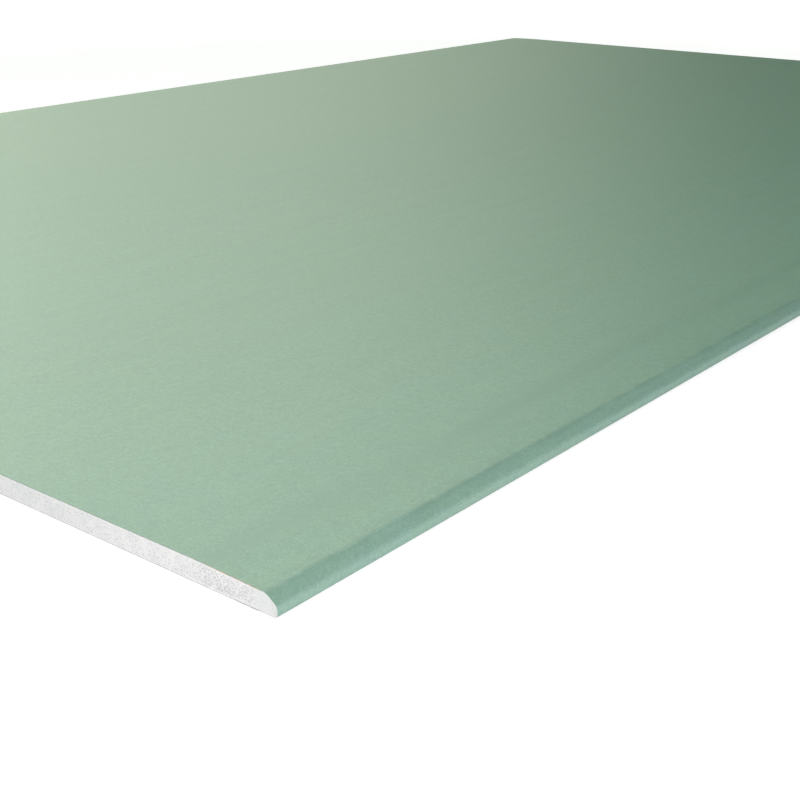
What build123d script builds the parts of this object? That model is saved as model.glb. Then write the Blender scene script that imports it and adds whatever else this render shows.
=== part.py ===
"""Drywall sheet: a gypsum core between a face liner, folded round both long edges, and a back liner.

The sheet lies flat with its face up. X runs across it, Y along it and Z up through it. The origin
is on the surface that it lies on, under its middle. Every size is in millimetres.
"""

import os

from build123d import *

# Overall size of the sheet
width = 1250.0
length = 2000.0
thickness = 12.5

# Each long edge, from the face to the back: a shallow taper, a rounded shoulder, a sloping bevel,
# a knuckle and an upright side that ends in a small heel
taper_width = 50.0
taper_drop = 1.3  # how far the taper would sink if it ran on to the plane of the edge
bevel_width = 7.1  # how far the bevel starts from the plane of the edge
side_height = 5.9  # height of the side, before its knuckle and heel are rounded
shoulder_radius = 8.0
knuckle_radius = 4.0
heel_radius = 1.8

# Paper liners
face_liner = 0.35
back_liner = 0.35
flap_width = 28.0  # how much of the face liner is folded onto the back, from the plane of the edge
back_margin = 12.0  # how far the back liner stops short of the plane of the edge


def board_section():
    """Section of the sheet above its back liner, with a shaped edge at each side and a flat back."""
    edge = width / 2
    taper_start = edge - taper_width
    bevel_start = edge - bevel_width
    bevel_top = thickness - taper_drop * (1 - bevel_width / taper_width)
    side_top = back_liner + side_height
    right_half = [
        (edge, back_liner),
        (edge, side_top),
        (bevel_start, bevel_top),
        (taper_start, thickness),
    ]
    left_half = [(-x, z) for x, z in reversed(right_half)]
    section = Polygon(*right_half, *left_half, align=None)
    # Levels of corners count up from the back, so the upper ones are rounded before the lower ones
    for level, radius in ((2, shoulder_radius), (1, knuckle_radius), (0, heel_radius)):
        corners = section.vertices().group_by(Axis.Y)[level]
        section = fillet(corners, radius)
    return section


def face_liner_section(section):
    """Skin of the board's section, left open on the back between the two folded flaps."""
    inside = offset(section, amount=-face_liner, kind=Kind.INTERSECTION)
    between_flaps = Pos(0, back_liner) * Rectangle(
        width - 2 * flap_width, face_liner, align=(Align.CENTER, Align.MIN)
    )
    return section - inside - between_flaps


def back_liner_section():
    """Flat strip under the core and the flaps, short of both long edges."""
    return Rectangle(width - 2 * back_margin, back_liner, align=(Align.CENTER, Align.MIN))


def along_sheet(section):
    """Run a section, drawn across the sheet, along its whole length."""
    return extrude(Plane.XZ * section, amount=length / 2, both=True)


board = board_section()
face_skin = face_liner_section(board)

parts = {
    "gypsum_core": along_sheet(board - face_skin),
    "face_paper": along_sheet(face_skin),
    "back_paper": along_sheet(back_liner_section()),
}

os.makedirs("parts", exist_ok=True)
for name, piece in parts.items():
    export_step(piece, f"parts/{name}.step")
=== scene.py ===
"""Looks of the drywall sheet: green face paper round a porous gypsum core, and grey back paper."""

import math

import bpy
from mathutils import Matrix, Vector, noise


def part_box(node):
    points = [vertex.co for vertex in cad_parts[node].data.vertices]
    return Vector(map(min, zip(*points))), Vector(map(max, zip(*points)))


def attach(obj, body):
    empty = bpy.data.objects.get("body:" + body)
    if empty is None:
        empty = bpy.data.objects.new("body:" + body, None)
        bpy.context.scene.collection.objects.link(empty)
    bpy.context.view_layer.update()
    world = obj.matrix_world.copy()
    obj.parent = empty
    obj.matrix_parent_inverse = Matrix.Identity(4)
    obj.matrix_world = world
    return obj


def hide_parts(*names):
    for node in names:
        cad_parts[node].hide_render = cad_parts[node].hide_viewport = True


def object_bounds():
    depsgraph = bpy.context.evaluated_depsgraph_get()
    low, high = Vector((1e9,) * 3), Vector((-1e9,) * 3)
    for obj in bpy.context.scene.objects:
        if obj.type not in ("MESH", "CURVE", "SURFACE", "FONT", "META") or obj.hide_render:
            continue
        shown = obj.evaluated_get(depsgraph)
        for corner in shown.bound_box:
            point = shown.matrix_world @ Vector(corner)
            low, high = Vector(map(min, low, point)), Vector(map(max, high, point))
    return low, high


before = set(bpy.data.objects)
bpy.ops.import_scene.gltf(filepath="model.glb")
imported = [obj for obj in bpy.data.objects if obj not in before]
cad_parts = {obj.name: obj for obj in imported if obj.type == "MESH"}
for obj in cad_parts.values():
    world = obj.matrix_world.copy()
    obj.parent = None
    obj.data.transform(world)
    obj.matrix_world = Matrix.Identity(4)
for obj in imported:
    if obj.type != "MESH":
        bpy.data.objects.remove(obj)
cad_low, cad_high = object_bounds()

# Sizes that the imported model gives, in metres as all sizes here are
HALF_WIDTH = cad_high.x
HALF_LENGTH = cad_high.y
THICKNESS = cad_high.z
BACK_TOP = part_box("back_paper")[1].z
BACK_HALF_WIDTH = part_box("back_paper")[1].x
FACE_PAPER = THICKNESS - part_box("gypsum_core")[1].z

# Sizes of the long edges, as in the part's source
TAPER_WIDTH = 0.050
TAPER_DROP = 0.0013
BEVEL_WIDTH = 0.0071
SIDE_HEIGHT = 0.0059
SHOULDER_RADIUS = 0.008
KNUCKLE_RADIUS = 0.004
HEEL_RADIUS = 0.0018
FLAP_WIDTH = 0.028

# The solids have a plain bend where the taper starts, and it is eased here
TAPER_START_RADIUS = 0.3

# How finely the section is divided
FIELD_STEP = 0.0025
EDGE_STEP = 0.0012
FLAP_STEP = 0.0035
ARC_STEP = math.radians(4)

# How finely the length is divided: close rows at each cut end, then even ones
END_ROWS = (0.0, 0.0004, 0.0012, 0.003, 0.007, 0.014)
ROW_STEP = 0.024

# How close two places count as one
SAME_ROW = 1e-9
SAME_POINT = 1e-7

# Relief of the face, which stays within the paper's thickness and fades before the shoulder
WAVE_HEIGHT = 0.00010
WAVE_LENGTH = 0.22
WAVE_SEED = 3.1
RELIEF_FADE = 0.003
RELIEF_END = HALF_WIDTH - BEVEL_WIDTH - SHOULDER_RADIUS / 2
RELIEF_FLOOR = THICKNESS - 1.5 * TAPER_DROP

# Crease of the face where the taper starts: it wanders, and it is deeper in some places
CREASE_DEPTH = 0.00018
CREASE_WIDTH = 0.0065
CREASE_SET_IN = 0.002
CREASE_WANDER = 0.0022
WANDER_LENGTH = 0.16
WANDER_SEEDS = (7.3, 1.7)
CREASE_STRENGTH = 0.75
STRENGTH_CHANGE = 0.5
CHANGE_LENGTH = 0.09
CHANGE_SEEDS = (3.9, 8.2)

# Frayed cut edges of the papers. END_APART, here and below, keeps both ends' patterns unlike.
END_FRAY = 0.00018
FRAY_LENGTH = 0.0045
FRAY_END_APART = 5
FACE_FRAY_SEED = 2.0
BACK_FRAY_SEED = 5.0

# Relief of the cut ends of the core: pits, whose floor is a share of their radius, and saw marks
CORE_STEP = 0.0006
CORE_ROWS = 19
PIT_DEPTH = 0.00045
PIT_SPACING = 0.0026
PIT_RADIUS = 0.0006
PIT_FLOOR = 0.4
PIT_CHANCE = 0.8
PIT_SEED_SCALE = 7.0
PIT_END_APART = 3
SAW_HEIGHT = 0.00012
SAW_LENGTH = 0.006
RIM_WIDTH = 0.0016

# Places across the cut end, from the long edge: smooth nose, most porous stretch, plainer middle
SMOOTH_NOSE = 0.010
POROUS_START = 0.018
POROUS_END = 0.040
PLAIN_START = 0.075
NOSE_POROSITY = 0.15
POROSITY_RISE = 0.85
POROSITY_FALL = 0.6

# Bends sharper than these stay sharp when a piece is shaded smooth
PAPER_FOLD = math.radians(30)
CORE_FOLD = math.radians(50)

# Materials of a paper's faces: its surface, and what is cut or hidden
SURFACE = 0
RAW = 1

# Camera: the picture is square, and these come from the photograph's edges and the sheet's size
PICTURE_SIDE = 800
FOCAL_PIXELS = 1309.7
SENSOR_WIDTH = 36.0
CAMERA_AZIMUTH = math.radians(39.03)
CAMERA_ELEVATION = math.radians(21.34)
CAMERA_FROM_CORNER = Vector((0.3636, -0.3617, 0.2923))
CLIP_START = 0.01
CLIP_END = 100.0

# Lamps: name, place, target, size, watts and tint
LAMPS = (
    ("right_lamp", (2.6, -1.4, 0.8), (0.6, -0.8, 0.0), 1.6, 33.1, (0.95, 0.919, 1.0)),
    ("front_lamp", (0.3, -3.0, 1.0), (0.3, -0.8, 0.0), 1.6, 14.7, (0.916, 0.925, 1.0)),
    ("low_lamp", (1.5, -1.5, 0.35), (0.62, -0.95, 0.0), 0.5, 8.15, (1.0, 0.806, 0.92)),
)

# Bright patches of the surround: azimuth, elevation and reach in degrees, strength and tint
GLOWS = (
    (150, 48, 42, 1.64, (0.923, 1.0, 0.924)),
    (150, 14, 38, 0.957, (0.906, 1.0, 0.751)),
    (180, 14, 38, 1.71, (0.819, 1.0, 0.725)),
    (30, 14, 38, 0.4, (0.569, 0.338, 1.0)),
)
AMBIENT = 0.016

# Floor: what the camera sees of it is lifted, more with distance, so that it stays white past
# the lamps and keeps the sheet's shadow
FLOOR_RADIUS = 30.0
FLOOR_SIDES = 64
FLOOR_BELOW = 0.0002
FLOOR_WHITE = 0.85
SHADOW_DEPTH = 0.5
LIFT_START = 1.2
LIFT_END = 2.6
LIFT_NEAR = 0.74
LIFT_FAR = 1.0


def blend_between(low, high, value):
    """Smooth step from 0 at low to 1 at high."""
    share = min(1.0, max(0.0, (value - low) / (high - low)))
    return share * share * (3 - 2 * share)


def spread(start, end, step):
    """Even values from start to end, without end, at most step apart."""
    count = max(1, math.ceil(abs(end - start) / step))
    return [start + (end - start) * i / count for i in range(count)]


def rounded(before, corner, after, radius):
    """Points, with outward normals, of the arc that rounds a corner of a clockwise outline."""
    into = (corner - before).normalized()
    away = (after - corner).normalized()
    turn = into.angle(away)
    normal = Vector((-into.y, into.x))
    centre = corner - into * radius * math.tan(turn / 2) - normal * radius
    steps = math.ceil(turn / ARC_STEP)
    arc = []
    for i in range(steps + 1):
        outward = Matrix.Rotation(-turn * i / steps, 2) @ normal
        arc.append((centre + outward * radius, outward))
    return arc


def edge_outline():
    """Points of the face paper's outside, with outward normals, from mid-face to its flap's end."""
    shoulder_z = THICKNESS - TAPER_DROP * (1 - BEVEL_WIDTH / TAPER_WIDTH)
    corners = [
        Vector((0.0, THICKNESS)),
        Vector((HALF_WIDTH - TAPER_WIDTH, THICKNESS)),
        Vector((HALF_WIDTH - BEVEL_WIDTH, shoulder_z)),
        Vector((HALF_WIDTH, BACK_TOP + SIDE_HEIGHT)),
        Vector((HALF_WIDTH, BACK_TOP)),
        Vector((HALF_WIDTH - FLAP_WIDTH, BACK_TOP)),
    ]
    radii = (TAPER_START_RADIUS, SHOULDER_RADIUS, KNUCKLE_RADIUS, HEEL_RADIUS)
    steps = (FIELD_STEP, EDGE_STEP, EDGE_STEP, EDGE_STEP, FLAP_STEP)
    arcs = [rounded(*corners[i:i + 3], radius) for i, radius in enumerate(radii)]
    arcs.append([(corners[-1], Vector((0.0, -1.0)))])
    outline = [(corners[0], Vector((0.0, 1.0)))]
    for arc, step in zip(arcs, steps):
        start, normal = outline[-1]
        run = arc[0][0] - start
        count = math.ceil(run.length / step)
        outline += [(start + run * i / count, normal) for i in range(1, count)]
        outline += arc
    return outline


def half_section(inset):
    """Points (x, z) of the edge's outline, set in by inset."""
    return [tuple(point - normal * inset) for point, normal in edge_outline()]


def full_section(inset):
    """Points of the whole section, from the left flap's end over the face to the right one's."""
    right = half_section(inset)
    left = [(-x, z) for x, z in reversed(right[1:])]
    return left + right


def rows_along():
    """Places along the sheet, close together at both cut ends."""
    near = [-HALF_LENGTH + y for y in END_ROWS]
    far = [HALF_LENGTH - y for y in reversed(END_ROWS)]
    return near[:-1] + spread(near[-1], far[0], ROW_STEP) + far


def noise_along(side, y, length, seeds):
    """Noise that changes along a long edge, apart for each side of the sheet."""
    return noise.noise(Vector((side * seeds[0], y / length, seeds[1])))


def crease(x, y):
    """How far a place of the face is into the crease, from 0 to about 1."""
    side = math.copysign(1.0, x)
    wander = CREASE_WANDER * noise_along(side, y, WANDER_LENGTH, WANDER_SEEDS)
    crease_x = HALF_WIDTH - TAPER_WIDTH + CREASE_SET_IN + wander
    change = noise_along(side, y, CHANGE_LENGTH, CHANGE_SEEDS)
    offset = (abs(x) - crease_x) / CREASE_WIDTH
    return (CREASE_STRENGTH + STRENGTH_CHANGE * change) * math.exp(-offset * offset)


def face_relief(x, y):
    """How much the face rises at a place: long shallow waves, less the crease."""
    wave = noise.noise(Vector((x / WAVE_LENGTH, y / WAVE_LENGTH, WAVE_SEED)))
    fade = blend_between(0.0, RELIEF_FADE, RELIEF_END - abs(x))
    return (WAVE_HEIGHT * wave - CREASE_DEPTH * crease(x, y)) * fade


def fray(x, y_end, seed):
    """How far the cut edge of a paper stands out of the plane of the cut."""
    ragged = noise.noise(Vector((x / FRAY_LENGTH, y_end * FRAY_END_APART, seed)))
    return math.copysign(END_FRAY * ragged, y_end)


def link_object(name, data):
    """New object in the scene."""
    thing = bpy.data.objects.new(name, data)
    bpy.context.scene.collection.objects.link(thing)
    return thing


def make_piece(name, points, faces, material_of_face, materials):
    """Mesh object of the given faces, each with the material of its number."""
    mesh = bpy.data.meshes.new(name)
    mesh.from_pydata(points, [], faces)
    mesh.polygons.foreach_set("material_index", material_of_face)
    mesh.update()
    for material in materials:
        mesh.materials.append(material)
    return link_object(name, mesh)


def add_attribute(piece, name, values):
    """Give each point of a piece a value that its material can read."""
    attribute = piece.data.attributes.new(name, "FLOAT", "POINT")
    attribute.data.foreach_set("value", values)


def smooth_below(piece, angle):
    """Shade a piece smooth, with sharp edges where two faces meet at more than the angle."""
    mesh = piece.data
    mesh.polygons.foreach_set("use_smooth", [True] * len(mesh.polygons))
    mesh.set_sharp_from_angle(angle=angle)


def face_paper_piece(materials):
    """The face paper: a thin closed shell round the face and both long edges, with its flaps."""
    outer = full_section(0.0)
    inner = full_section(FACE_PAPER)
    rows = rows_along()
    across = len(outer)
    points = []
    crease_shade = []
    for y in rows:
        at_end = abs(abs(y) - HALF_LENGTH) < SAME_ROW
        for x, z in outer:
            on_face = z > RELIEF_FLOOR and abs(x) < RELIEF_END
            rise = face_relief(x, y) if on_face else 0.0
            out = fray(x, y, FACE_FRAY_SEED) if at_end else 0.0
            points.append((x, y + out, z + rise))
            crease_shade.append(crease(x, y) if on_face else 0.0)
    near, far = 0, (len(rows) - 1) * across
    near_in = len(points)
    far_in = near_in + across
    for y in (rows[0], rows[-1]):
        for x, z in inner:
            points.append((x, y + fray(x, y, FACE_FRAY_SEED), z))
            crease_shade.append(0.0)

    faces = []
    for row in range(len(rows) - 1):
        for i in range(across - 1):
            a = row * across + i
            faces.append((a, a + across, a + across + 1, a + 1))
    kinds = [SURFACE] * len(faces)
    for i in range(across - 1):
        faces += [
            (near_in + i, near_in + i + 1, far_in + i + 1, far_in + i),
            (near + i, near + i + 1, near_in + i + 1, near_in + i),
            (far + i + 1, far + i, far_in + i, far_in + i + 1),
        ]
    last = across - 1
    left_edge = [row * across for row in range(len(rows))]
    right_edge = [start + last for start in left_edge]
    faces.append(tuple(left_edge[::-1]) + (near_in, far_in))
    faces.append(tuple(right_edge) + (far_in + last, near_in + last))
    kinds += [RAW] * (len(faces) - len(kinds))
    piece = make_piece("face_paper_sheet", points, faces, kinds, materials)
    # These crease values set painted shade along the crease in the face paper's colour
    add_attribute(piece, "crease", crease_shade)
    smooth_below(piece, PAPER_FOLD)
    return piece


def core_columns():
    """Columns (x, lowest z, highest z) across the core's section, from the middle to the edge."""
    section = half_section(FACE_PAPER)
    heel_x = HALF_WIDTH - HEEL_RADIUS
    heel_z = BACK_TOP + HEEL_RADIUS
    heel = HEEL_RADIUS - FACE_PAPER
    side_x = HALF_WIDTH - FACE_PAPER - SAME_POINT
    side_start = next(i for i, point in enumerate(section) if point[0] > side_x)
    upper = section[:side_start + 1]

    def lower(x):
        """Underside of the core: on the back paper, on the flap, or round the heel."""
        if x <= HALF_WIDTH - FLAP_WIDTH:
            return BACK_TOP
        if x <= heel_x:
            return BACK_TOP + FACE_PAPER
        return heel_z - math.sqrt(max(0.0, heel * heel - (x - heel_x) ** 2))

    columns = []
    for (x0, z0), (x1, z1) in zip(upper, upper[1:]):
        for x in spread(x0, x1, CORE_STEP):
            share = (x - x0) / (x1 - x0) if x1 > x0 else 0.0
            columns.append((x, lower(x), z0 + (z1 - z0) * share))
    columns.append((upper[-1][0], heel_z, upper[-1][1]))
    return columns


def porosity(from_edge):
    """How porous the cut end is at a distance from the long edge, from 0 to 1."""
    rising = blend_between(SMOOTH_NOSE, POROUS_START, from_edge)
    falling = blend_between(POROUS_END, PLAIN_START, from_edge)
    return NOSE_POROSITY + POROSITY_RISE * rising - POROSITY_FALL * falling


def core_relief(x, z, low, high, y_end):
    """How deep the cut end is at a place, and how far it is into a pit, from 0 to 1."""
    from_rim = min(high - z, z - low, HALF_WIDTH - FACE_PAPER - abs(x))
    inside = blend_between(0.0, RIM_WIDTH, from_rim)
    place = Vector((x, z, y_end * PIT_END_APART))
    distances, centres = noise.voronoi(place / PIT_SPACING)
    chance = PIT_CHANCE * porosity(HALF_WIDTH - abs(x))
    seed = noise.cell(centres[0] * PIT_SEED_SCALE)
    pit = 0.0
    if seed * 0.5 + 0.5 < chance:
        pit = 1 - blend_between(PIT_FLOOR, 1.0, distances[0] * PIT_SPACING / PIT_RADIUS)
    saw = SAW_HEIGHT * noise.noise(place / SAW_LENGTH)
    return inside * (PIT_DEPTH * pit + saw), inside * pit


def core_piece(materials):
    """The gypsum core: its hidden sides are plain, and both cut ends are pitted."""
    right = core_columns()
    columns = [(-x, low, high) for x, low, high in reversed(right[1:])] + right
    across = len(columns)
    points = []
    pits = []
    porous = []
    for y_end in (-HALF_LENGTH, HALF_LENGTH):
        inward = -math.copysign(1.0, y_end)
        for row in range(CORE_ROWS + 1):
            for x, low, high in columns:
                z = low + (high - low) * row / CORE_ROWS
                depth, pit = core_relief(x, z, low, high, y_end)
                points.append((x, y_end + inward * max(0.0, depth), z))
                pits.append(pit)
                inside = blend_between(0.0, RIM_WIDTH, min(high - z, z - low))
                porous.append(porosity(HALF_WIDTH - abs(x)) * inside)

    per_end = across * (CORE_ROWS + 1)
    top = CORE_ROWS * across
    last = across - 1
    faces = []
    for row in range(CORE_ROWS):
        for i in range(last):
            a = row * across + i
            b = per_end + a
            faces.append((a, a + 1, a + across + 1, a + across))
            faces.append((b, b + across, b + across + 1, b + 1))
    for i in range(last):
        faces.append((i, per_end + i, per_end + i + 1, i + 1))
        faces.append((top + i, top + i + 1, per_end + top + i + 1, per_end + top + i))
    for row in range(CORE_ROWS):
        a = row * across
        b = a + last
        faces.append((a, a + across, per_end + a + across, per_end + a))
        faces.append((b, per_end + b, per_end + b + across, b + across))
    piece = make_piece("gypsum_core_slab", points, faces, [0] * len(faces), materials)
    # The pit share also sets painted shade in the pits through the gypsum's colour
    add_attribute(piece, "pit", pits)
    add_attribute(piece, "porous", porous)
    smooth_below(piece, CORE_FOLD)
    return piece


def back_paper_piece(materials):
    """The back paper: a flat closed sheet with slightly ragged cut ends."""
    stations = spread(-BACK_HALF_WIDTH, BACK_HALF_WIDTH, FIELD_STEP) + [BACK_HALF_WIDTH]
    across = len(stations)
    points = []
    for z in (0.0, BACK_TOP):
        for y in (-HALF_LENGTH, HALF_LENGTH):
            for x in stations:
                points.append((x, y + fray(x, y, BACK_FRAY_SEED), z))
    faces = []
    kinds = []
    for i in range(across - 1):
        near_low, far_low, near_top, far_top = (i + across * k for k in range(4))
        faces += [
            (near_low, far_low, far_low + 1, near_low + 1),
            (near_top, near_top + 1, far_top + 1, far_top),
            (near_low, near_low + 1, near_top + 1, near_top),
            (far_low + 1, far_low, far_top, far_top + 1),
        ]
        kinds += [SURFACE, SURFACE, RAW, RAW]
    last = across - 1
    faces.append((0, 2 * across, 3 * across, across))
    faces.append((last, across + last, 3 * across + last, 2 * across + last))
    kinds += [RAW, RAW]
    return make_piece("back_paper_sheet", points, faces, kinds, materials)


def cleared_tree(owner):
    """The emptied node tree of a material or a world."""
    owner.use_nodes = True
    owner.node_tree.nodes.clear()
    return owner.node_tree


def add_node(tree, kind, inputs=None, **settings):
    """New node, with its settings and the values of its inputs, which go by name or number."""
    node = tree.nodes.new(kind)
    for key, value in settings.items():
        setattr(node, key, value)
    for key, value in (inputs or {}).items():
        node.inputs[key].default_value = value
    return node


def join(tree, *pairs):
    """Link each pair of an output and an input."""
    for source, target in pairs:
        tree.links.new(source, target)


class Nodes:
    """Short ways to add and join the nodes of one material."""

    def __init__(self, name):
        self.material = bpy.data.materials.new(name)
        self.tree = cleared_tree(self.material)
        self.shader = self.add("ShaderNodeBsdfPrincipled")
        output = self.add("ShaderNodeOutputMaterial")
        join(self.tree, (self.shader.outputs["BSDF"], output.inputs["Surface"]))
        self.place = self.add("ShaderNodeTexCoord").outputs["Object"]

    def add(self, kind, inputs=None, **settings):
        """New node of this material."""
        return add_node(self.tree, kind, inputs, **settings)

    def put(self, socket, value):
        """Give an input a number, a colour, or what another node gives."""
        if isinstance(value, (int, float, tuple)):
            socket.default_value = value
        else:
            join(self.tree, (value, socket))

    def place_for(self, stretch):
        """The place on the object, scaled along each axis where stretch is given."""
        if stretch is None:
            return self.place
        node = self.add("ShaderNodeMapping", {"Scale": stretch})
        self.put(node.inputs["Vector"], self.place)
        return node.outputs["Vector"]

    def from_edge(self):
        """Distance from the plane of the nearer long edge, and the height above the floor."""
        axes = self.add("ShaderNodeSeparateXYZ")
        self.put(axes.inputs["Vector"], self.place)
        across = self.math("ABSOLUTE", axes.outputs["X"], 0.0)
        return self.math("SUBTRACT", HALF_WIDTH, across), axes.outputs["Z"]

    def attribute(self, name):
        """A value that the points of the piece carry."""
        return self.add("ShaderNodeAttribute", attribute_name=name).outputs["Fac"]

    def noise(self, size, detail=2.0, roughness=0.5, stretch=None):
        """Cloudy noise from 0 to 1 whose blotches are about size across."""
        inputs = {"Scale": 1 / size, "Detail": detail, "Roughness": roughness}
        node = self.add("ShaderNodeTexNoise", inputs)
        self.put(node.inputs["Vector"], self.place_for(stretch))
        return node.outputs["Fac"]

    def cells(self, size, stretch=None):
        """Distance to scattered points about size apart, and the points' own random colours."""
        node = self.add("ShaderNodeTexVoronoi", {"Scale": 1 / size})
        self.put(node.inputs["Vector"], self.place_for(stretch))
        return node.outputs["Distance"], node.outputs["Color"]

    def ramp(self, value, low, high, to_low=0.0, to_high=1.0):
        """Value moved from the range low to high onto another range, and kept in it."""
        node = self.add("ShaderNodeMapRange", {
            "From Min": low, "From Max": high, "To Min": to_low, "To Max": to_high,
        })
        self.put(node.inputs["Value"], value)
        return node.outputs["Result"]

    def band(self, value, rise, top, end, fall):
        """1 between top and end, falling to 0 at rise below and at fall above."""
        return self.product(self.ramp(value, rise, top), self.ramp(value, end, fall, 1.0, 0.0))

    def specks(self, spacing, middle, rim, chosen, stretch=None):
        """1 in the middle of scattered specks, 0 past their rims, with only some of them kept."""
        distance, seed = self.cells(spacing, stretch)
        return self.product(self.ramp(distance, middle, rim, 1.0, 0.0), self.ramp(seed, *chosen))

    def math(self, operation, first, second):
        """Arithmetic on two values, each a socket or a number."""
        node = self.add("ShaderNodeMath", operation=operation)
        for socket, value in zip(node.inputs, (first, second)):
            self.put(socket, value)
        return node.outputs["Value"]

    def product(self, first, second):
        """One value times another."""
        return self.math("MULTIPLY", first, second)

    def mix(self, share, first, second):
        """Mix of two colours, each a socket or a colour."""
        node = self.add("ShaderNodeMix", data_type="RGBA")
        for number, value in ((0, share), (6, first), (7, second)):
            self.put(node.inputs[number], value)
        return node.outputs[2]

    def finish(self, base, roughness, height, strength, distance):
        """Give the shader its colour, its roughness and fine relief that only shading shows."""
        bump = self.add("ShaderNodeBump", {"Strength": strength, "Distance": distance})
        self.put(bump.inputs["Height"], height)
        self.put(self.shader.inputs["Normal"], bump.outputs["Normal"])
        self.put(self.shader.inputs["Base Color"], base)
        self.shader.inputs["Roughness"].default_value = roughness
        return self.material


def colour(red, green, blue):
    """A colour that is given as it looks on screen, from 0 to 255, for a shader."""
    def linear(level):
        level /= 255
        return level / 12.92 if level <= 0.04045 else ((level + 0.055) / 1.055) ** 2.4
    return (linear(red), linear(green), linear(blue), 1.0)


def grey(level):
    """A grey of the given linear level, for a shader."""
    return (level, level, level, 1.0)


# Green face paper. For each pattern: its size, its stretch, the range of its noise that counts,
# and the largest share of the other colour. Bands are distances from the long edge. Specks have
# a spacing, a middle and a rim in shares of it, and the range of seeds above which they are kept.
YELLOW_GREEN = colour(130, 168, 142)
BLUE_GREEN = colour(127, 167, 146)
DEEP_GREEN = colour(116, 154, 132)
PALE_GREEN = colour(142, 181, 158)
SPECK_GREEN = colour(80, 112, 92)
BLOTCH_SIZE = 0.018
BLOTCH_RANGE = (0.38, 0.62)
STREAK_SIZE = 0.012
STREAK_STRETCH = (1.0, 0.06, 1.0)
STREAK_RANGE = (0.35, 0.65)
STREAK_SHARE = 0.3
MOTTLE_SIZE = 0.0045
MOTTLE_SHARE = 0.5
GRAIN_SIZE = 0.0011
GRAIN_SHARE = 0.9
DEEP_RANGE = (0.25, 0.5)
PALE_RANGE = (0.5, 0.75)
# The shoulder band, with the patches below it, is patchy painted shade along the shoulder of each
# long edge
SHOULDER_SHADE_BAND = (0.003, 0.007, 0.009, 0.017)
PATCH_SIZE = 0.007
PATCH_STRETCH = (1.0, 0.5, 1.0)
PATCH_RANGE = (0.42, 0.62)
SHOULDER_SHADE_SHARE = 0.7
# Share of painted shade along the crease where the taper starts
CREASE_SHADE_SHARE = 0.5
DARK_SPECKS = (0.006, 0.06, 0.12, (0.55, 0.56))
DARK_SHARE = 0.45
PALE_SPECKS = (0.0075, 0.05, 0.11, (0.45, 0.46))
PALE_SHARE = 0.6
DIMPLE_SIZE = 0.006
DIMPLE_WEIGHT = 1.5
PAPER_BUMP = (0.2, 0.0003)
PAPER_ROUGHNESS = 0.38
PAPER_SPECULAR = 0.8


def green_paper():
    """Green face paper: blotches of two greens, streaks along it, mottles, grain and specks, with
    painted shade along each shoulder and along the crease.
    """
    nodes = Nodes("green_face_paper")
    blotches = nodes.noise(BLOTCH_SIZE)
    streaks = nodes.noise(STREAK_SIZE, stretch=STREAK_STRETCH)
    mottles = nodes.noise(MOTTLE_SIZE, detail=3.0, roughness=0.6)
    grain = nodes.noise(GRAIN_SIZE, roughness=0.7)
    base = nodes.mix(nodes.ramp(blotches, *BLOTCH_RANGE), YELLOW_GREEN, BLUE_GREEN)
    base = nodes.mix(nodes.ramp(streaks, *STREAK_RANGE, 0.0, STREAK_SHARE), base, DEEP_GREEN)
    for pattern, most in ((mottles, MOTTLE_SHARE), (grain, GRAIN_SHARE)):
        base = nodes.mix(nodes.ramp(pattern, *DEEP_RANGE, most, 0.0), base, DEEP_GREEN)
        base = nodes.mix(nodes.ramp(pattern, *PALE_RANGE, 0.0, most), base, PALE_GREEN)
    from_edge, _ = nodes.from_edge()
    # Patchy painted shade along the shoulder of each long edge
    patches = nodes.noise(PATCH_SIZE, detail=3.0, stretch=PATCH_STRETCH)
    patches = nodes.ramp(patches, *PATCH_RANGE, 0.0, SHOULDER_SHADE_SHARE)
    patches = nodes.product(nodes.band(from_edge, *SHOULDER_SHADE_BAND), patches)
    # Painted shade along the crease where the taper starts
    crease_shade = nodes.product(nodes.attribute("crease"), CREASE_SHADE_SHARE)
    dark = nodes.product(nodes.specks(*DARK_SPECKS), DARK_SHARE)
    pale = nodes.product(nodes.specks(*PALE_SPECKS), PALE_SHARE)
    base = nodes.mix(patches, base, DEEP_GREEN)
    base = nodes.mix(crease_shade, base, DEEP_GREEN)
    base = nodes.mix(dark, base, SPECK_GREEN)
    base = nodes.mix(pale, base, PALE_GREEN)
    dimples = nodes.product(nodes.noise(DIMPLE_SIZE), DIMPLE_WEIGHT)
    nodes.shader.inputs["Specular IOR Level"].default_value = PAPER_SPECULAR
    return nodes.finish(base, PAPER_ROUGHNESS, nodes.math("ADD", dimples, grain), *PAPER_BUMP)


# Raw cut edges of the papers. TAN_BAND and NOSE_RANGE are distances from the long edge, each
# HEIGHT is above the floor, and the other ranges are of the fibres' noise.
RAW_DARK = colour(104, 120, 106)
RAW_PALE = colour(176, 186, 176)
RAW_NOSE = colour(226, 232, 226)
RAW_LOW = colour(214, 218, 212)
TAN_DARK = colour(190, 122, 78)
TAN_PALE = colour(214, 180, 150)
FIBRE_SIZE = 0.004
RAW_RANGE = (0.35, 0.6)
TAN_RANGE = (0.3, 0.6)
TAN_PATCHES = (0.40, 0.5)
TAN_BAND = (0.010, 0.013, 0.040, 0.060)
TAN_HEIGHT = (0.006, 0.007)
NOSE_RANGE = (0.008, 0.011)
LOW_HEIGHT = (0.003, 0.006)
LOW_SHARE = 0.6
RAW_GRAIN_SIZE = 0.0006
RAW_BUMP = (0.5, 0.0003)
RAW_ROUGHNESS = 0.9


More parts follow.
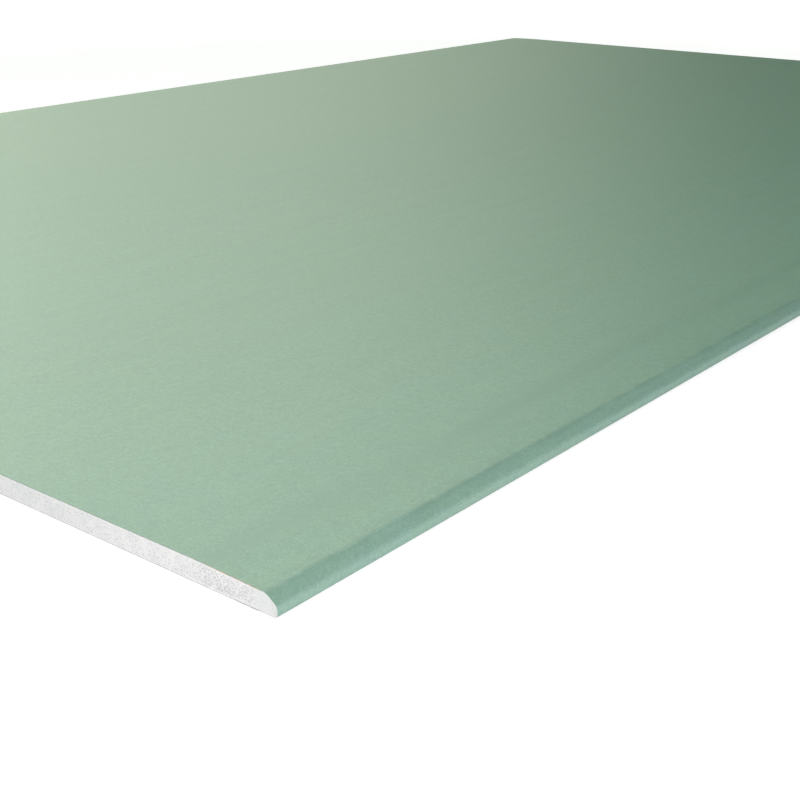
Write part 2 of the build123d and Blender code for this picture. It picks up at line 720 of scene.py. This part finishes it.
def raw_paper_edge():
    """Raw cut edge of the papers: grey-green, with tan fibres along the top of each taper."""
    nodes = Nodes("raw_paper_edge")
    from_edge, height = nodes.from_edge()
    fibres = nodes.noise(FIBRE_SIZE, detail=3.0)
    plain = nodes.mix(nodes.ramp(fibres, *RAW_RANGE), RAW_DARK, RAW_PALE)
    plain = nodes.mix(nodes.ramp(from_edge, *NOSE_RANGE, 1.0, 0.0), plain, RAW_NOSE)
    plain = nodes.mix(nodes.ramp(height, *LOW_HEIGHT, LOW_SHARE, 0.0), plain, RAW_LOW)
    tan = nodes.mix(nodes.ramp(fibres, *TAN_RANGE), TAN_DARK, TAN_PALE)
    tapered = nodes.product(nodes.band(from_edge, *TAN_BAND), nodes.ramp(height, *TAN_HEIGHT))
    base = nodes.mix(nodes.product(tapered, nodes.ramp(fibres, *TAN_PATCHES)), plain, tan)
    return nodes.finish(base, RAW_ROUGHNESS, nodes.noise(RAW_GRAIN_SIZE), *RAW_BUMP)


# Gypsum. The two shares of crumbs are where the core is dense and where it is most porous.
GYPSUM_DULL = colour(236, 242, 236)
GYPSUM_PALE = colour(244, 249, 243)
GYPSUM_NOSE = colour(225, 234, 226)
CRUMB_GREY = colour(206, 211, 208)
# The pore and pit greys are painted shade in those hollows
PORE_SHADE_GREY = colour(172, 177, 177)
PIT_SHADE_GREY = colour(190, 195, 194)
CLOUD_SIZE = 0.009
CLOUD_RANGE = (0.35, 0.65)
NOSE_SHARE = 0.85
CRUMB_SIZE = 0.0006
CRUMB_RANGE = (0.46, 0.66)
CRUMB_SHARES = (0.2, 0.8)
PORE_SPACING = 0.0009
PORE_RANGE = (0.24, 0.44)
PORE_CHANCE = 0.9
# Shares of painted shade in the pores and in the pits
PORE_SHADE_SHARE = 0.8
PIT_SHADE_SHARE = 0.3
GYPSUM_BUMP = (0.5, 0.0003)
GYPSUM_ROUGHNESS = 0.95


def gypsum():
    """Dry gypsum: pale and dense at its rim, with fine pores that gather near the long edges, and
    painted shade in its pores and pits.
    """
    nodes = Nodes("gypsum")
    porous = nodes.attribute("porous")
    from_edge, _ = nodes.from_edge()
    crumbs = nodes.noise(CRUMB_SIZE, detail=3.0, roughness=0.7)
    clouds = nodes.noise(CLOUD_SIZE)
    base = nodes.mix(nodes.ramp(clouds, *CLOUD_RANGE), GYPSUM_DULL, GYPSUM_PALE)
    nose = nodes.ramp(from_edge, SMOOTH_NOSE, POROUS_START, NOSE_SHARE, 0.0)
    base = nodes.mix(nose, base, GYPSUM_NOSE)
    crumbly = nodes.ramp(porous, 0.0, 1.0, *CRUMB_SHARES)
    base = nodes.mix(nodes.product(nodes.ramp(crumbs, *CRUMB_RANGE), crumbly), base, CRUMB_GREY)
    distance, seed = nodes.cells(PORE_SPACING)
    kept = nodes.math("GREATER_THAN", nodes.product(porous, PORE_CHANCE), seed)
    pore = nodes.product(nodes.ramp(distance, *PORE_RANGE, 1.0, 0.0), kept)
    # Painted shade in the pores, then in the pits
    base = nodes.mix(nodes.product(pore, PORE_SHADE_SHARE), base, PORE_SHADE_GREY)
    base = nodes.mix(nodes.product(nodes.attribute("pit"), PIT_SHADE_SHARE), base, PIT_SHADE_GREY)
    height = nodes.math("SUBTRACT", crumbs, pore)
    return nodes.finish(base, GYPSUM_ROUGHNESS, height, *GYPSUM_BUMP)


# Grey back paper, with patterns and flecks given as for the face paper
DULL_GREY = colour(172, 172, 160)
PALE_GREY = colour(180, 181, 170)
FIBRE_GREY = colour(152, 151, 140)
FLECK_BROWN = colour(110, 104, 94)
GREY_CLOUD_SIZE = 0.05
GREY_CLOUD_RANGE = (0.3, 0.7)
GREY_FIBRE_SIZE = 0.0014
GREY_FIBRE_STRETCH = (1.0, 0.35, 1.0)
GREY_FIBRE_RANGE = (0.4, 0.65)
GREY_FIBRE_SHARE = 0.5
FLECKS = (0.004, 0.12, 0.2, (0.66, 0.68), (1.0, 0.5, 1.0))
FLECK_SHARE = 0.45
GREY_BUMP = (0.3, 0.0004)
GREY_ROUGHNESS = 0.85


def grey_paper():
    """Grey back paper: recycled, with visible fibres and flecks."""
    nodes = Nodes("grey_back_paper")
    clouds = nodes.noise(GREY_CLOUD_SIZE, detail=3.0)
    fibres = nodes.noise(GREY_FIBRE_SIZE, detail=3.0, stretch=GREY_FIBRE_STRETCH)
    base = nodes.mix(nodes.ramp(clouds, *GREY_CLOUD_RANGE), DULL_GREY, PALE_GREY)
    fibrous = nodes.ramp(fibres, *GREY_FIBRE_RANGE, 0.0, GREY_FIBRE_SHARE)
    base = nodes.mix(fibrous, base, FIBRE_GREY)
    base = nodes.mix(nodes.product(nodes.specks(*FLECKS), FLECK_SHARE), base, FLECK_BROWN)
    return nodes.finish(base, GREY_ROUGHNESS, fibres, *GREY_BUMP)


def place_camera():
    """Camera at the photograph's viewing angle, by its distance from the face's near corner."""
    data = bpy.data.cameras.new("camera")
    data.sensor_width = SENSOR_WIDTH
    data.lens = FOCAL_PIXELS * SENSOR_WIDTH / PICTURE_SIDE
    data.clip_start = CLIP_START
    data.clip_end = CLIP_END
    camera = link_object("camera", data)
    camera.location = Vector((HALF_WIDTH, -HALF_LENGTH, THICKNESS)) + CAMERA_FROM_CORNER
    turn = Matrix.Rotation(CAMERA_AZIMUTH, 4, "Z")
    tilt = Matrix.Rotation(math.pi / 2 - CAMERA_ELEVATION, 4, "X")
    camera.rotation_euler = (turn @ tilt).to_euler()
    bpy.context.scene.camera = camera


def add_lamp(name, place, target, size, power, tint):
    """A square soft lamp that faces a target. Gloss hides it, or it would glare in the paper."""
    data = bpy.data.lights.new(name, "AREA")
    data.shape = "SQUARE"
    data.size = size
    data.energy = power
    data.color = tint
    lamp = link_object(name, data)
    lamp.visible_camera = False
    lamp.visible_glossy = False
    lamp.location = place
    aim = Vector(target) - Vector(place)
    lamp.rotation_euler = aim.to_track_quat("-Z", "Y").to_euler()


def show_apart(tree, output_kind, plain, seen):
    """Show one shader to the camera, and the plain one to everything else."""
    path = add_node(tree, "ShaderNodeLightPath")
    mix = add_node(tree, "ShaderNodeMixShader")
    output = add_node(tree, output_kind)
    join(
        tree,
        (path.outputs["Is Camera Ray"], mix.inputs["Fac"]),
        (plain, mix.inputs[1]),
        (seen, mix.inputs[2]),
        (mix.outputs["Shader"], output.inputs["Surface"]),
    )


def add_glow(tree, direction, azimuth, elevation, reach, strength, tint):
    """Light from one soft patch of the surround, whose middle and reach are given in degrees."""
    turn, rise = math.radians(azimuth), math.radians(elevation)
    middle = (math.cos(turn) * math.cos(rise), math.sin(turn) * math.cos(rise), math.sin(rise))
    dot = add_node(tree, "ShaderNodeVectorMath", {1: middle}, operation="DOT_PRODUCT")
    fade = add_node(tree, "ShaderNodeMapRange", {
        "From Min": math.cos(math.radians(reach)), "From Max": 1.0,
        "To Min": 0.0, "To Max": strength,
    }, interpolation_type="SMOOTHSTEP")
    light = add_node(tree, "ShaderNodeBackground", {"Color": (*tint, 1.0)})
    join(
        tree,
        (direction, dot.inputs[0]),
        (dot.outputs["Value"], fade.inputs["Value"]),
        (fade.outputs["Result"], light.inputs["Strength"]),
    )
    return light.outputs["Background"]


def light_scene():
    """Soft studio lamps, a surround with a few bright patches, and white for the camera."""
    for lamp in LAMPS:
        add_lamp(*lamp)
    world = bpy.data.worlds.new("surround")
    tree = cleared_tree(world)
    direction = add_node(tree, "ShaderNodeTexCoord").outputs["Generated"]
    dim = add_node(tree, "ShaderNodeBackground", {"Color": grey(1.0), "Strength": AMBIENT})
    total = dim.outputs["Background"]
    for glow in GLOWS:
        both = add_node(tree, "ShaderNodeAddShader")
        join(tree, (total, both.inputs[0]), (add_glow(tree, direction, *glow), both.inputs[1]))
        total = both.outputs["Shader"]
    white = add_node(tree, "ShaderNodeBackground", {"Color": grey(1.0), "Strength": 1.0})
    show_apart(tree, "ShaderNodeOutputWorld", total, white.outputs["Background"])
    bpy.context.scene.world = world


def lay_floor():
    """White floor that keeps the sheet's shadow. What the camera sees of it is lifted to white."""
    turns = [2 * math.pi * i / FLOOR_SIDES for i in range(FLOOR_SIDES)]
    ring = [
        (FLOOR_RADIUS * math.cos(turn), FLOOR_RADIUS * math.sin(turn), -FLOOR_BELOW)
        for turn in turns
    ]
    mesh = bpy.data.meshes.new("floor")
    mesh.from_pydata(ring, [], [tuple(range(FLOOR_SIDES))])
    floor = link_object("floor", mesh)
    material = bpy.data.materials.new("white_floor")
    tree = cleared_tree(material)
    matt = add_node(tree, "ShaderNodeBsdfDiffuse", {"Color": grey(FLOOR_WHITE)})
    shaded = add_node(tree, "ShaderNodeBsdfDiffuse", {"Color": grey(SHADOW_DEPTH)})
    place = add_node(tree, "ShaderNodeTexCoord").outputs["Object"]
    distance = add_node(tree, "ShaderNodeVectorMath", operation="LENGTH")
    ramp = add_node(tree, "ShaderNodeMapRange", {
        "From Min": LIFT_START, "From Max": LIFT_END, "To Min": LIFT_NEAR, "To Max": LIFT_FAR,
    })
    lift = add_node(tree, "ShaderNodeEmission")
    seen = add_node(tree, "ShaderNodeAddShader")
    join(
        tree,
        (place, distance.inputs[0]),
        (distance.outputs["Value"], ramp.inputs["Value"]),
        (ramp.outputs["Result"], lift.inputs["Strength"]),
        (shaded.outputs["BSDF"], seen.inputs[0]),
        (lift.outputs["Emission"], seen.inputs[1]),
    )
    show_apart(tree, "ShaderNodeOutputMaterial", matt.outputs["BSDF"], seen.outputs["Shader"])
    mesh.materials.append(material)


raw_edge = raw_paper_edge()
face = face_paper_piece([green_paper(), raw_edge])
core = core_piece([gypsum()])
back = back_paper_piece([grey_paper(), raw_edge])
for piece, node, slot in (
    (face, "face_paper", "face_paper"),
    (core, "gypsum_core", "gypsum"),
    (back, "back_paper", "back_paper"),
):
    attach(piece, "root")
    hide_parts(node)

place_camera()
light_scene()
lay_floor()
bpy.context.scene.view_settings.view_transform = "Standard"
